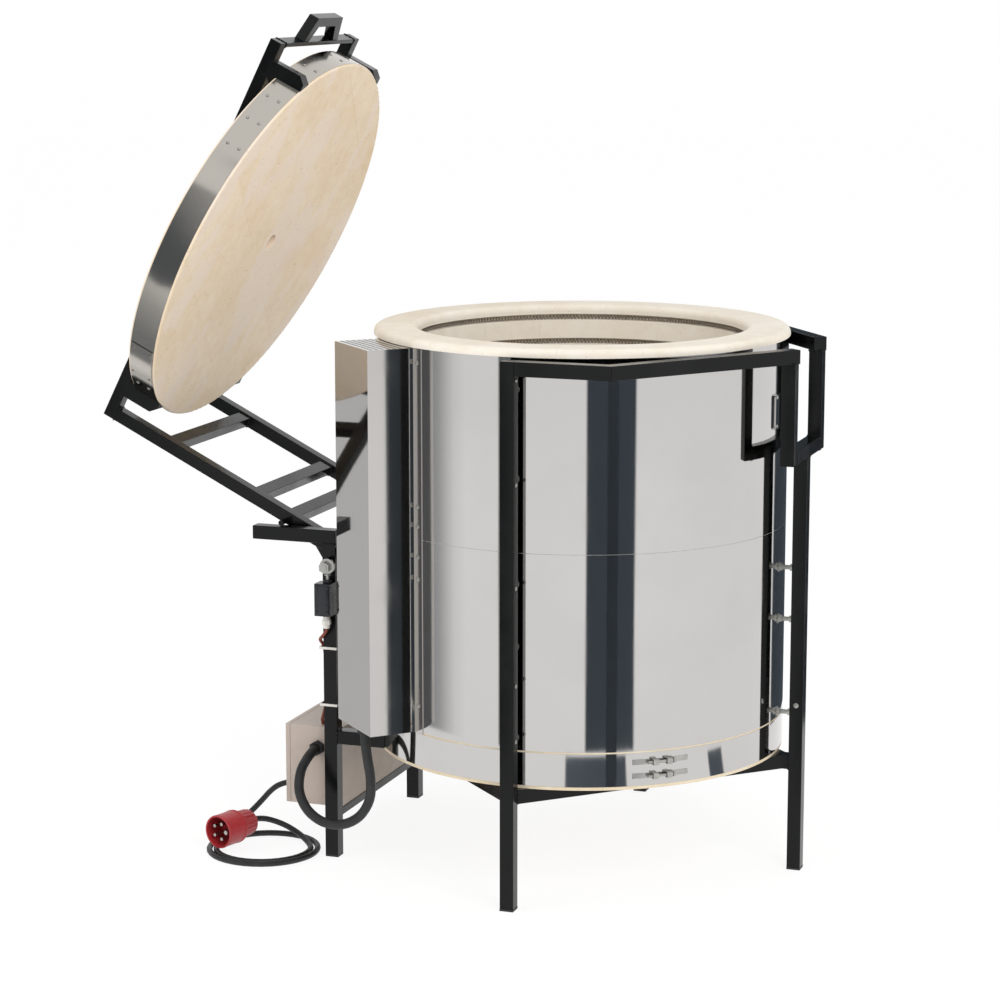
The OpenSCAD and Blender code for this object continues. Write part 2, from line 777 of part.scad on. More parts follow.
// Blank riveted plate on the band
module lid_plate() {
    angle = 140;
    wide = 15;
    t = 1.5;
    inset = 2;
    low = lid_low + lid_edge + inset;
    high = lid_t - 2 * (lid_edge + inset);
    color("#aeaca8") in_frame() lid_pose() {
        rotate(angle - wide / 2) translate([0, 0, low]) rotate_extrude(angle = wide, $fn = 180)
            translate([lid_band_r, 0]) square([t, high]);
        for (a = [-0.38, 0.38] * wide, z = [5, high - 5])
            radial(angle + a, lid_band_r + t, lid_band_r + t + 1.5, low + z, 5);
    }
}

module lid_rails() {
    color("#1f2223") in_frame() lid_pose() both_sides()
        translate([-lid_rail_x - half, lid_front, rails_low])
            box_tube([tube, arm_back - lid_front, rail_d], 1, [true, true]);
}

module lid_arms() {
    low = pivot_z - lug_r;
    color("#1f2223") in_frame() lid_pose() both_sides()
        translate([-lid_rail_x - half, arm_front, low])
            box_tube([tube, rail_d, rails_low - low], 2, [true, false]);
}

module lid_front_bar() {
    w = 2 * lid_rail_x - tube;
    color("#1f2223") in_frame() lid_pose() translate([-w / 2, lid_front, rails_low])
        cube([w, front_bar_t, rail_d]);
}

module lid_cross_bars() {
    w = 2 * lid_rail_x - tube;
    color("#55585a") in_frame() lid_pose() for (z = cross_bar_z)
        translate([-w / 2, arm_back - cross_bar_d, z - half]) box_tube([w, cross_bar_d, tube], 0);
}

// Claws that reach from the rails down the band at the front and the rear
module lid_claws() {
    reach = 20;
    tip = 12;
    outer = sqrt(pow(lid_band_r, 2) - pow(lid_rail_x + half, 2)) + 25;
    low = lid_low + 2;
    color("#1f2223") in_frame() lid_pose() difference() {
        for (x = [-1, 1], y = [-1, 1]) scale([1, 1, 1]) mirror([x > 0 ? 1 : 0, 0, 0]) mirror([0, y > 0 ? 1 : 0, 0])
            translate([-lid_rail_x - half, 0, 0]) rotate([90, 0, 90]) linear_extrude(tube)
                polygon([[-outer, rails_low], [-outer, low + tip], [-outer + tip, low], [-outer + 70, low],
                    [-outer + 70, rails_low - rail_gap - reach], [-outer + 30, rails_low]]);
        translate([0, 0, lid_low]) cylinder(r = lid_band_r, h = lid_t, $fn = 180);
    }
}

module lid_handle() {
    base = 80;
    top = 58;
    leg = 20;
    t = 20;
    color("#1f2223") in_frame() lid_pose() translate([0, lid_front, rails_low + (rail_d - t) / 2])
        linear_extrude(t) difference() {
            polygon([[-base, 0], [-top, -handle_reach], [top, -handle_reach], [base, 0]]);
            polygon([[-base + leg + 4, e], [-top + leg, -handle_reach + leg - 2],
                [top - leg, -handle_reach + leg - 2], [base - leg - 4, e]]);
        }
}

module pivot_lugs() {
    color("#1f2223") in_frame() lid_pose() both_sides() translate([-lid_rail_x - half, 0, 0]) rotate([90, 0, 90])
        linear_extrude(lug_t) difference() {
            union() {
                translate([pivot_y, pivot_z]) circle(r = lug_r);
                translate([arm_back, pivot_z - lug_r]) square([pivot_y - arm_back, 2 * lug_r]);
                polygon([[arm_back, pivot_z], [pivot_y + lug_r * 0.8, pivot_z + lug_r * 0.6],
                    [arm_back, pivot_z + 60]]);
            }
            translate([pivot_y, pivot_z]) circle(d = pivot_d);
            translate([arm_back - 2 * lug_r, pivot_z - 2 * lug_r]) square([2 * lug_r, 150]);
        }
}

// Pins on the arms that come to rest on the stop arms
module stop_pins() {
    color("#1f2223") in_frame() lid_pose() both_sides()
        translate([-rear_post_x, stop_pin_y, stop_pin_z]) rotate([0, 90, 0])
            cylinder(r = stop_pin_r, h = rear_post_x - lid_rail_x - half);
}

module pivot_bolts() {
    inner = lid_rail_x + half - lug_t;
    outer = rear_post_x + half;
    color("#b7b8b4") in_frame() lid_pose() translate([0, pivot_y, pivot_z]) {
        for (s = [-1, 1]) scale([1, 1, 1]) mirror([s > 0 ? 1 : 0, 0, 0]) {
            translate([-outer - 26, 0, 0]) rotate([0, 90, 0]) cylinder(d = pivot_d, h = outer + 26 - inner);
            translate([-inner, 0, 0]) rotate([0, 90, 0]) cylinder(d = 21, h = 7, $fn = 6);
            translate([-lid_rail_x - half - washer_gap + touch, 0, 0]) rotate([0, 90, 0])
                cylinder(r = 12, h = washer_gap - touch);
            translate([-outer - 10, 0, 0]) rotate([0, 90, 0]) cylinder(r = 10, h = 10 - touch);
            translate([-outer - 25, 0, 0]) rotate([0, 90, 0]) cylinder(d = 21, h = 8, $fn = 6);
        }
    }
}

// Eccentric disc on the left pivot bolt that works the lid switch
module switch_cam() {
    color("#c9c9c2") in_frame() translate([cam_x, pivot_y, pivot_z]) rotate([0, 90, 0]) difference() {
        translate([-cam_e * sin(cam_phase), cam_e * cos(cam_phase), 0]) cylinder(r = cam_r, h = cam_t);
        translate([0, 0, -e]) cylinder(d = pivot_d, h = cam_t + 2 * e);
    }
}

// Fireclay stopper in the lid's vent
module vent_plug() {
    flange_r = 26;
    flange_h = 12;
    knob_h = 16;
    color("#d8b98c") in_frame() lid_pose() translate([0, 0, lid_top + touch]) {
        translate([0, 0, touch - lid_t * 0.8]) cylinder(r = vent_r - touch, h = lid_t * 0.8);
        cylinder(r = flange_r, h = flange_h);
        translate([0, 0, flange_h]) cylinder(r1 = 10, r2 = 13, h = knob_h);
    }
}

// Hose between the two boxes: down from the connection box, round and up into the switchgear box

hose_low = [hose_exit_r * cos(box_angle), hose_exit_r * sin(box_angle), box_low - gland_l / 2];
hose_route = [hose_low, [-306.9, 306.4, 250], [-305.3, 303, 218], [-302.5, 298.5, 180], [-300.5, 302, 142],
    [-300.3, 322, 109], [-300.2, 355, 90.5], [-298.6, 393, 90.5], [-294.9, 426, 109], [-286, 446, 140],
    [-268, 451, 171], [-244, 449, 189.5], [-220, 447.3, 198],
    [-gear_w / 2 - gland_l / 2, gear_hose_y, gear_hose_z]];
module hose() {
    color("#1b1c1d") in_frame() sweep(curve(hose_route, 4), hose_d, 12, [0, 0, -1], [1, 0, 0]);
}

// Mains cord: a lead from the switchgear box to a flat coil of two turns beside the left rear post
relief_l = 24;
coil_at = [-225, 543];
coil_r = 105;
coil_step = 13;
coil_from = 90;
coil_to = 650;
coil_rings = 24;
floor_z = cord_d / 2;

lead_route = [[gear_cord_x, gear_back + relief_l, gear_cord_z], [-100, 549, 98.4], [-97.3, 572, 89], [-93.2, 591, 74],
    [-91, 608, 55.5], [-95, 624.3, 37.4], [-107, 639, 21.7], [-126.6, 649, 11.3], [-150, 653, 6.5],
    [-175, 652, floor_z], [-200, 649, floor_z], [coil_at[0], coil_at[1] + coil_r, floor_z]];
module mains_lead() {
    color("#1b1c1d") in_frame() sweep(curve(lead_route, 4), cord_d, 8, [0, 1, 0], [-1, 0, 0]);
}

function coil_point(a) = let (r = coil_r - coil_step * (a - coil_from) / 360)
    [coil_at[0] + r * cos(a), coil_at[1] + r * sin(a), floor_z];
coil_n = round((coil_to - coil_from) / 360 * coil_rings);
coil_turns = [for (i = [0:coil_n]) coil_point(coil_from + (coil_to - coil_from) * i / coil_n)];

// The plug lies on the turns, and the cord climbs from the coil's inside into it
plug_rear = [-180, 588, cord_d + plug_d / 2 + touch];
plug_yaw = 163;
plug_l = 98;
tail_route = [coil_turns[coil_n], [-178.3, 473.8, 6], [-164.3, 486.4, 8.5], [-151.8, 501.9, 12.5],
    [-143.2, 519.5, 18], [-140, 538.5, 25], [-143.2, 557.3, 32], [-153.3, 573.6, 38.3], [-168, 584.2, 41.7],
    plug_rear];
tail_curve = curve(tail_route, 2);
coil_route = concat(coil_turns, [for (i = [1:len(tail_curve) - 1]) tail_curve[i]]);
coil_gap = min([for (i = [0:len(coil_route) - 1], j = [i + 8:1:len(coil_route) - 1])
    norm(coil_route[i] - coil_route[j]) - cord_d]);
echo(coil_gap = coil_gap);
module mains_coil() {
    color("#1b1c1d") in_frame() sweep(coil_route, cord_d, 6, [-1, 0, 0], [cos(plug_yaw), sin(plug_yaw), 0]);
}

module plug_frame() {
    translate(plug_rear) rotate([0, 90, plug_yaw]) children();
}

// Shell of revolution: gland nut, grip, collar and the open shroud round the pins
shroud_floor = 58;
module plug_shell() {
    r = plug_d / 2;
    color("#b32a24") in_frame() plug_frame() rotate_extrude()
        polygon([[0, 0], [12, 0], [13, 16], [19, 17], [23, 44], [r - 2, 48], [r, 50], [r, plug_l], [r - 3, plug_l],
            [r - 3, shroud_floor], [0, shroud_floor]]);
}

module plug_pins() {
    turn = 15;
    reach = 36;
    color("#c8c8c4") in_frame() plug_frame() translate([0, 0, shroud_floor]) {
        for (k = [0:4]) rotate(90 + 72 * k) translate([turn, 0, 0])
            cylinder(d = k == 0 ? 8 : 6, h = reach, $fn = 24);
    }
}

// Draw

left_post();
right_post();
front_post();
rear_posts();
foot_caps();
base_bars();
tie_bars();
rear_cross_rail();
stop_arms();
top_rails();
bracket_uprights();
bracket_bar();
standoffs();
floor_slab();
floor_band();
floor_clamps();
brick_ring_lower();
brick_ring_middle();
brick_ring_upper();
fibre_blanket();
jacket_lower();
jacket_upper();
jacket_screws();
front_plate();
elements_lower();
elements_middle();
elements_upper();
tail_bushes();
tail_connectors();
thermocouple();
connection_box();
connection_grille();
switchgear_box();
switchgear_cover();
contactors();
box_glands();
limit_switch();
switch_gland();
switch_plunger();
switch_cable();
cable_ties();
lid_slab();
lid_band();
lid_plate();
lid_rails();
lid_arms();
lid_front_bar();
lid_cross_bars();
lid_claws();
lid_handle();
pivot_lugs();
stop_pins();
pivot_bolts();
switch_cam();
vent_plug();
hose();
mains_lead();
mains_coil();
plug_shell();
plug_pins();
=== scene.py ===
import math

import bmesh
import bpy
from mathutils import Matrix, Vector


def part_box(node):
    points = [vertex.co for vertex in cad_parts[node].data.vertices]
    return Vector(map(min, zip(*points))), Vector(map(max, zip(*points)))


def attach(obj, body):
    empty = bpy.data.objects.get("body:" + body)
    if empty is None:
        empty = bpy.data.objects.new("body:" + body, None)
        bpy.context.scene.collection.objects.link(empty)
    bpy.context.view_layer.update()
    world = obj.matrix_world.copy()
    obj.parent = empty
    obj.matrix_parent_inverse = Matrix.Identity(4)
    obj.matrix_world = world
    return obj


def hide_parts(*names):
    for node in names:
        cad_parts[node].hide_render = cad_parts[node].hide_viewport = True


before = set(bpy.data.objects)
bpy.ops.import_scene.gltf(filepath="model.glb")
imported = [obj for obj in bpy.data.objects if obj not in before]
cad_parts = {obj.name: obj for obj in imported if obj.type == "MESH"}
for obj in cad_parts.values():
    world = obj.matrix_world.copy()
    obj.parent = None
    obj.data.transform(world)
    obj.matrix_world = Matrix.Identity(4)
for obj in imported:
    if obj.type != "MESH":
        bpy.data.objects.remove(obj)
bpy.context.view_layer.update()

# Stand. Welded 25 mm square steel tube, powder-coated satin black after welding.
# The coat has a fine orange peel, and it is a little rubbed and dusty in places.


class Term:
    """A shader value. Arithmetic on it adds Math nodes, and node() adds any other node."""

    def __init__(self, tree, socket=None):
        self.tree = tree
        self.socket = socket

    def node(self, kind, settings=None, inputs=None, out=0):
        made = self.tree.nodes.new("ShaderNode" + kind)
        for name, value in (settings or {}).items():
            if name == "stops":
                ramp = made.color_ramp.elements
                while len(ramp) < len(value):
                    ramp.new(0.5)
                for stop, (place, colour) in zip(ramp, value):
                    stop.position = place
                    stop.color = (*colour, 1)
            else:
                setattr(made, name, value)
        for name, value in (inputs or {}).items():
            socket = made.inputs[name]
            if isinstance(value, Term):
                self.tree.links.new(value.socket, socket)
            else:
                socket.default_value = value
        return Term(self.tree, made.outputs[out])

    def math(self, operation, first, second=0.0, clamp=False):
        settings = {"operation": operation, "use_clamp": clamp}
        return self.node("Math", settings, {0: first, 1: second})

    def __add__(self, other):
        return self.math("ADD", self, other)

    __radd__ = __add__

    def __sub__(self, other):
        return self.math("SUBTRACT", self, other)

    def __rsub__(self, other):
        return self.math("SUBTRACT", other, self)

    def __mul__(self, other):
        return self.math("MULTIPLY", self, other)

    __rmul__ = __mul__

    def place(self):
        """Where a point is on the part, in metres."""
        return self.node("TexCoord", out=3)

    def noise(self, where, scale, detail=4.0, roughness=0.55):
        inputs = {"Vector": where, "Scale": scale, "Detail": detail, "Roughness": roughness}
        return self.node("TexNoise", None, inputs)

    def between(self, value, low, high, start=0.0, end=1.0):
        """value from low to high, turned into start to end and held there."""
        inputs = {"Value": value, "From Min": low, "From Max": high, "To Min": start, "To Max": end}
        return self.node("MapRange", None, inputs)

    def blend(self, share, first, second):
        """One colour over another, by share."""
        return self.node("Mix", {"data_type": "RGBA"}, {0: share, 6: first, 7: second}, out=2)

    def relief(self, height, distance, strength=1.0):
        inputs = {"Height": height, "Distance": distance, "Strength": strength}
        return self.node("Bump", None, inputs)


def srgb(code):
    """A colour as it looks on screen, such as "c7b8ac", in a shader's linear numbers."""
    parts = [int(code[i : i + 2], 16) / 255 for i in (0, 2, 4)]
    linear = [c / 12.92 if c <= 0.04045 else ((c + 0.055) / 1.055) ** 2.4 for c in parts]
    return (*linear, 1.0)


def new_finish(name):
    material = bpy.data.materials.new(name)
    material.use_nodes = True
    return material, Term(material.node_tree)


def fill(material, **inputs):
    """Sets or links the shader's sockets: base_color is Base Color, and so on."""
    shader = material.node_tree.nodes["Principled BSDF"]
    for name, value in inputs.items():
        socket = shader.inputs[name.replace("_", " ").title().replace("Ior", "IOR")]
        if isinstance(value, Term):
            material.node_tree.links.new(value.socket, socket)
        else:
            socket.default_value = value


def dress(material, *names):
    for name in names:
        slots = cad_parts[name].data.materials
        slots.clear()
        slots.append(material)


def spread(name, bm, material, body, stands_for=(), smooth_faces=True):
    """Turns a finished bmesh into a piece that rides on a body."""
    mesh = bpy.data.meshes.new(name)
    bm.to_mesh(mesh)
    bm.free()
    for face in mesh.polygons:
        face.use_smooth = smooth_faces
    piece = bpy.data.objects.new(name, mesh)
    bpy.context.collection.objects.link(piece)
    mesh.materials.append(material)
    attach(piece, body)
    if stands_for:
        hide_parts(*stands_for)
    return piece


def ease(width, material, body, slot, *names):
    """Stands for nodes with copies whose sharp outer edges are rounded, as in tube and sheet."""
    same_point = 1e-6
    flat = math.radians(1)
    corner = math.radians(40)
    for name in names:
        bm = bmesh.new()
        bm.from_mesh(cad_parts[name].data)
        bmesh.ops.remove_doubles(bm, verts=bm.verts, dist=same_point)
        bmesh.ops.dissolve_limit(bm, angle_limit=flat, verts=bm.verts, edges=bm.edges)
        outer = [edge for edge in bm.edges if len(edge.link_faces) == 2 and edge.is_convex]
        bmesh.ops.bevel(
            bm,
            geom=[edge for edge in outer if edge.calc_face_angle() > corner],
            offset=width,
            segments=2,
            profile=0.5,
            affect="EDGES",
            clamp_overlap=True,
        )
        piece = spread("eased_" + name, bm, material, body, [name])
        piece.modifiers.new("even_light", "WEIGHTED_NORMAL").keep_sharp = True


def vertex_ring(bm, centre, across, up, radii):
    """Vertices round a centre, turned evenly from across towards up, one for each radius."""
    turns = [2 * math.pi * k / len(radii) for k in range(len(radii))]
    return [
        bm.verts.new(centre + radius * (math.cos(a) * across + math.sin(a) * up))
        for radius, a in zip(radii, turns)
    ]


def wall(bm, loops):
    """Faces from each ring of vertices to the next."""
    for low, high in zip(loops, loops[1:]):
        for k in range(len(low)):
            after = (k + 1) % len(low)
            bm.faces.new((low[k], low[after], high[after], high[k]))


def tube_through(bm, loops):
    """A wall through rings of vertices, closed at both ends."""
    wall(bm, loops)
    bm.faces.new(list(reversed(loops[0])))
    bm.faces.new(loops[-1])


def tube_along(bm, points, radii, sides):
    """One closed tube through points, with a radius at each."""
    last = len(points) - 1
    ahead = [
        (points[min(i + 1, last)] - points[max(i - 1, 0)]).normalized() for i in range(last + 1)
    ]
    across = ahead[0].orthogonal().normalized()
    loops = []
    for point, radius, way in zip(points, radii, ahead):
        across = (across - way * across.dot(way)).normalized()
        loops.append(vertex_ring(bm, point, across, way.cross(across), [radius] * sides))
    tube_through(bm, loops)


tube_edge = 0.0012
powder_black, t = new_finish("powder_black")
where = t.place()
dust = t.between(t.noise(where, 9.0, 5.0), 0.48, 0.75)
peel = t.noise(where, 700.0, 1.0)
fill(
    powder_black,
    base_color=t.blend(dust * 0.3, srgb("0a0b0b"), srgb("1f201f")),
    roughness=0.13 + dust * 0.2 + peel * 0.05,
    specular_ior_level=0.23,
    normal=t.relief(peel, 0.0003, 0.3),
)
stand_tube = [
    "left_post",
    "right_post",
    "front_post",
    "rear_posts",
    "base_bars",
    "tie_bars",
    "stop_arms",
    "top_rails",
    "bracket_uprights",
    "bracket_bar",
    "rear_cross_rail",
]
dress(powder_black, *stand_tube)
ease(tube_edge, powder_black, "stand", "black_paint", *stand_tube)

# Feet. Moulded polyethylene caps pushed into the open ends of the posts.
# The glands and the cases of the switching gear are moulded in the same black.
moulded_black, t = new_finish("moulded_black")
where = t.place()
grain = t.noise(where, 1400.0, 2.0)
scuff = t.between(t.noise(where, 60.0), 0.5, 0.8)
fill(
    moulded_black,
    base_color=t.blend(scuff * 0.4, srgb("1a1b1c"), srgb("3b3b3a")),
    roughness=0.52 + scuff * 0.2,
    normal=t.relief(grain, 0.0003, 0.3),
)
dress(moulded_black, "foot_caps", "box_glands", "contactors")

# Floor and rings. Soft insulating firebrick, sawn and cemented, with a thin cream coat.
# The surface is full of fine pores, with warmer patches from one brick to the next.
ring_low, ring_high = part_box("brick_ring_upper")
axis_y = (ring_low[1] + ring_high[1]) / 2


def firebrick(name, pale, warm):
    material, t = new_finish(name)
    where = t.place()
    cloud = t.noise(where, 6.0, 5.0, 0.6)
    mottle = t.noise(where, 38.0, 4.0)
    pores = t.node("TexVoronoi", None, {"Vector": where, "Scale": 330.0})
    pit = t.between(pores, 0.06, 0.22, 1.0, 0.0)
    speck = t.between(t.noise(where, 210.0, 2.0), 0.67, 0.74)
    colour = t.blend(t.between(cloud + mottle * 0.5, 0.55, 0.95), srgb(pale), srgb(warm))
    colour = t.blend(speck * 0.45, colour, srgb("a98a64"))
    height = mottle * 0.4 - pit * 0.5
    fill(material, base_color=colour, roughness=0.9, normal=t.relief(height, 0.0012, 0.5))
    return material


ring_brick = firebrick("ring_brick", "ebe5da", "e2d8c8")
dress(ring_brick, "brick_ring_lower", "brick_ring_middle", "brick_ring_upper")
dress(firebrick("slab_brick", "e3d6bf", "d6c4a6"), "floor_slab")

# Fibre blanket. White ceramic wool wrapped round the bricks under the jacket.
# The jacket holds it in place, and it keeps the steel cool.
wool, t = new_finish("ceramic_wool")
where = t.place()
tuft = t.noise(where, 160.0, 6.0, 0.7)
fill(
    wool,
    base_color=t.blend(tuft, srgb("f4f2ea"), srgb("dedacb")),
    roughness=0.95,
    normal=t.relief(tuft, 0.002, 0.6),
)
dress(wool, "fibre_blanket")

# Jacket, connection box and floor band. Stainless sheet, polished to a mirror and rolled.
# It mirrors the studio, with the slight waviness and the soft upright grain of rolled sheet.


def polished_steel(name, tone, gloss, wave):
    material, t = new_finish(name)
    where = t.place()
    upright = t.node("Mapping", None, {"Vector": where, "Scale": (220.0, 220.0, 3.0)})
    grain = t.noise(upright, 1.0, 3.0)
    smear = t.between(t.noise(where, 7.0, 5.0), 0.45, 0.8)
    rolled = t.node("Mapping", None, {"Vector": where, "Scale": (1.0, 1.0, 0.35)})
    ripple = t.noise(rolled, 4.0, 1.0)
    fill(
        material,
        base_color=t.blend(smear * 0.25, srgb(tone), srgb("b9b7b2")),
        metallic=1.0,
        roughness=gloss + grain * 0.03 + smear * 0.05,
        normal=t.relief(ripple, wave, 0.6),
    )
    return material


mirror_sheet = polished_steel("mirror_sheet", "c9c7c5", 0.03, 0.0012)
dress(mirror_sheet, "jacket_lower", "jacket_upper", "floor_band", "front_plate")
box_sheet = polished_steel("box_sheet", "c2bfbc", 0.03, 0.0005)
dress(box_sheet, "connection_box", "connection_grille")

# Fasteners and welds. Zinc-plated spacers, screws, clamps and pivot bolts.
# The tube's joints are welded all round before the black coat goes on.
zinc, t = new_finish("zinc_plate")
where = t.place()
dull = t.noise(where, 90.0, 4.0)
fill(
    zinc,
    base_color=t.blend(dull, srgb("c8c8c4"), srgb("9d9c96")),
    metallic=1.0,
    roughness=0.26 + dull * 0.2,
    normal=t.relief(t.noise(where, 900.0, 2.0), 0.0002, 0.3),
)
dress(zinc, "standoffs", "floor_clamps", "pivot_bolts", "switch_cam", "switch_plunger", "plug_pins")


def dome(bm, seat, out, radius, height, sides=16, rings=4):
    """A rivet or pan head: a low dome on a short upright edge."""
    seat = Vector(seat)
    out = Vector(out).normalized()
    across = out.orthogonal().normalized()
    up = out.cross(across)
    edge = 0.25
    profile = [(radius, 0.0), (radius, edge * height)]
    for k in range(1, rings):
        a = math.pi / 2 * k / rings
        profile.append((radius * math.cos(a), height * (edge + (1 - edge) * math.sin(a))))
    loops = [vertex_ring(bm, seat + out * h, across, up, [r] * sides) for r, h in profile]
    wall(bm, loops)
    top = bm.verts.new(seat + out * height)
    for k in range(sides):
        bm.faces.new((loops[-1][k], loops[-1][(k + 1) % sides], top))
    bm.faces.new(list(reversed(loops[0])))


def on_kiln(angle, radius, z):
    """A point on the kiln and the way out there, at an angle in degrees seen from above."""
    a = math.radians(angle)
    x, y = math.cos(a), math.sin(a)
    return Vector((radius * x, axis_y + radius * y, z)), Vector((x, y, 0.0))


mm = 0.001


def about_axis(route):
    """Points in millimetres about the kiln's axis, in the part's own frame in metres."""
    return [Vector((x * mm, y * mm + axis_y, z * mm)) for x, y, z in route]


def bead(bm, path, turn=lambda point: point):
    """A weld along a path in millimetres about the kiln's axis, with the ripple of its runs."""
    run, thick, ripple = 0.0028, 0.0017, 0.0004
    corners = about_axis(path)
    points = []
    for here, there in zip(corners, corners[1:]):
        count = max(2, round((there - here).length / run))
        points += [here.lerp(there, k / count) for k in range(count)]
    points.append(corners[-1])
    radii = [thick + ripple * math.sin(2.1 * k) for k in range(len(points))]
    tube_along(bm, [turn(point) for point in points], radii, 6)


def square(axis, at, low, high):
    """A joint's outline across an axis, from a low to a high pair of the other two sizes."""
    (left, foot), (right, top) = low, high
    ring = [(left, foot), (right, foot), (right, top), (left, top), (left, foot)]
    return [(u, v)[:axis] + (at,) + (u, v)[axis:] for u, v in ring]


tube_half = 12.5
side_in, side_out = 389.5, 414
front_out, front_in = -426, -401.5
rear_x, rear_in, rear_out, rear_top = 207, 398.5, 423.5, 591
upright_x = 101
rail_low, rail_high = 943, 968
bracket_low, bracket_high = 763, 788
cross_low, cross_high = 217, 242
base_low, base_high = 189, 214
stand_welds = bmesh.new()
for side in (-1, 1):
    post, upright, rear = side * side_in, side * upright_x, side * rear_x
    inside = side * (upright_x - tube_half)
    rail_seat = [(post, rail_high), (post, rail_low), (side * side_out, rail_low)]
    bead(stand_welds, [(x, -tube_half, z) for x, z in rail_seat])
    for axis, at, low, high in (
        (2, rail_low, (upright - tube_half, front_out), (upright + tube_half, front_in)),
        (0, inside, (front_out, bracket_low), (front_in, bracket_high)),
        (2, rear_top, (rear - tube_half, rear_in), (rear + tube_half, rear_out)),
        (1, rear_in, (rear - tube_half, cross_low), (rear + tube_half, cross_high)),
        (0, post, (-tube_half, base_low), (tube_half, base_high)),
    ):
        bead(stand_welds, square(axis, at, low, high))
bead(stand_welds, square(2, bracket_low, (-tube_half, front_out), (tube_half, front_in)))
bead(stand_welds, square(1, front_in, (-tube_half, base_low), (tube_half, base_high)))
spread("stand_welds", stand_welds, powder_black, "stand")

post_half = tube_half * mm
side_post_x, side_bolts, side_head = 0.402, (0.304, 0.403, 0.575, 0.755, 0.935), (0.004, 0.003)
front_post_y, front_bolt, front_head = axis_y - 0.414, 0.309, (0.0052, 0.0034)
post_screws = bmesh.new()
for side in (-1, 1):
    for z in side_bolts:
        seat = (side * side_post_x, axis_y - post_half, z)
        dome(post_screws, seat, (0.0, -1.0, 0.0), *side_head)
    seat = (side * post_half, front_post_y, front_bolt)
    dome(post_screws, seat, (side, 0.0, 0.0), *front_head)
spread("post_screws", post_screws, zinc, "stand")

# Spacers. Zinc-plated studs that hold the posts off the jacket.
# Each has a washer and a nut on the jacket, and a nut on the post.
jacket_r = 0.375
washer_h, washer_r = 0.0014, 0.009
nut_h, nut_r = 0.0052, 0.007
nut_low = jacket_r + washer_h
side_spacers = (0.304, 0.4655, 0.5755, 0.760, 0.915)
front_spacers = (0.293, 0.4655, 0.5605)
spacer_nuts = bmesh.new()
for angle, post_face, heights in (
    (180, side_in * mm, side_spacers),
    (0, side_in * mm, side_spacers),
    (270, -front_in * mm, front_spacers),
):
    for z in heights:
        for near, far, radius, sides in (
            (jacket_r, nut_low, washer_r, 24),
            (nut_low, nut_low + nut_h, nut_r, 6),
            (post_face - nut_h, post_face, nut_r, 6),
        ):
            ends = [on_kiln(angle, reach, z)[0] for reach in (near, far)]
            tube_along(spacer_nuts, ends, [radius, radius], sides)
spread("spacer_nuts", spacer_nuts, zinc, "stand", smooth_faces=False)

# Screws of the connection box and the front plate. Zinc-plated pan heads.
# They go through the box's flanges and the plate's corners into the jacket.
box_angle = 135.0
box_half = 0.074
flange_sheet = 0.0012
flange_off = math.degrees(math.asin(box_half / jacket_r)) + 1.7
flange_rows = (0.330, 0.560, 0.600, 0.655, 0.690, 0.945)
screw_bm = bmesh.new()
for side in (-1, 1):
    for z in flange_rows:
        seat, out = on_kiln(box_angle + side * flange_off, jacket_r + flange_sheet, z)
        dome(screw_bm, seat, out, 0.0042, 0.003)
spread("flange_screws", screw_bm, zinc, "stand", ["jacket_screws"])

plate_face = 0.379
plate_bm = bmesh.new()
for angle in (263.6, 268.4):
    for z in (0.822, 0.874):
        seat, out = on_kiln(angle, plate_face, z)
        dome(plate_bm, seat, out, 0.0034, 0.0022)
spread("plate_screws", plate_bm, zinc, "stand")

# Heating elements. Resistance wire wound into close coils and laid in the brick grooves.
# Each groove takes one coil, whose two straight tails leave through the wall behind the box.
wire_finish, t = new_finish("oxidised_wire")
where = t.place()
scale = t.noise(where, 240.0, 4.0)
fill(
    wire_finish,
    base_color=t.blend(scale, srgb("857c73"), srgb("a89e92")),
    metallic=0.4,
    roughness=0.5 + scale * 0.2,
)

chamber_floor = 0.290
ring_height = 0.232
grooves = 5
coil_turns = 290
coil_steps = 7
coil_radius = 0.0033
wire_radius = 0.0009
element_radius = 0.308
element_drop = 0.0012
tail_angle = 4.0
tail_radius = 0.003
tail_reach = (0.400, 0.330)
for ring, node in enumerate(("elements_lower", "elements_middle", "elements_upper")):
    wound = bmesh.new()
    for groove in range(grooves):
        z = chamber_floor + ring * ring_height
        z += (groove + 0.5) * ring_height / grooves - element_drop
        start, end = box_angle + tail_angle, box_angle - tail_angle
        path = [on_kiln(start, reach, z)[0] for reach in tail_reach]
        for step in range(coil_turns * coil_steps + 1):
            share = step / (coil_turns * coil_steps)
            wind = 2 * math.pi * step / coil_steps
            angle = start + (360 - 2 * tail_angle) * share
            out, up = coil_radius * math.cos(wind), coil_radius * math.sin(wind)
            path.append(on_kiln(angle, element_radius + out, z + up)[0])
        path += [on_kiln(end, reach, z)[0] for reach in reversed(tail_reach)]
        tail = [tail_radius] * len(tail_reach)
        radii = tail + [wire_radius] * (len(path) - 2 * len(tail)) + tail
        tube_along(wound, path, radii, 4)
    spread("wound_" + node, wound, wire_finish, "stand", [node])

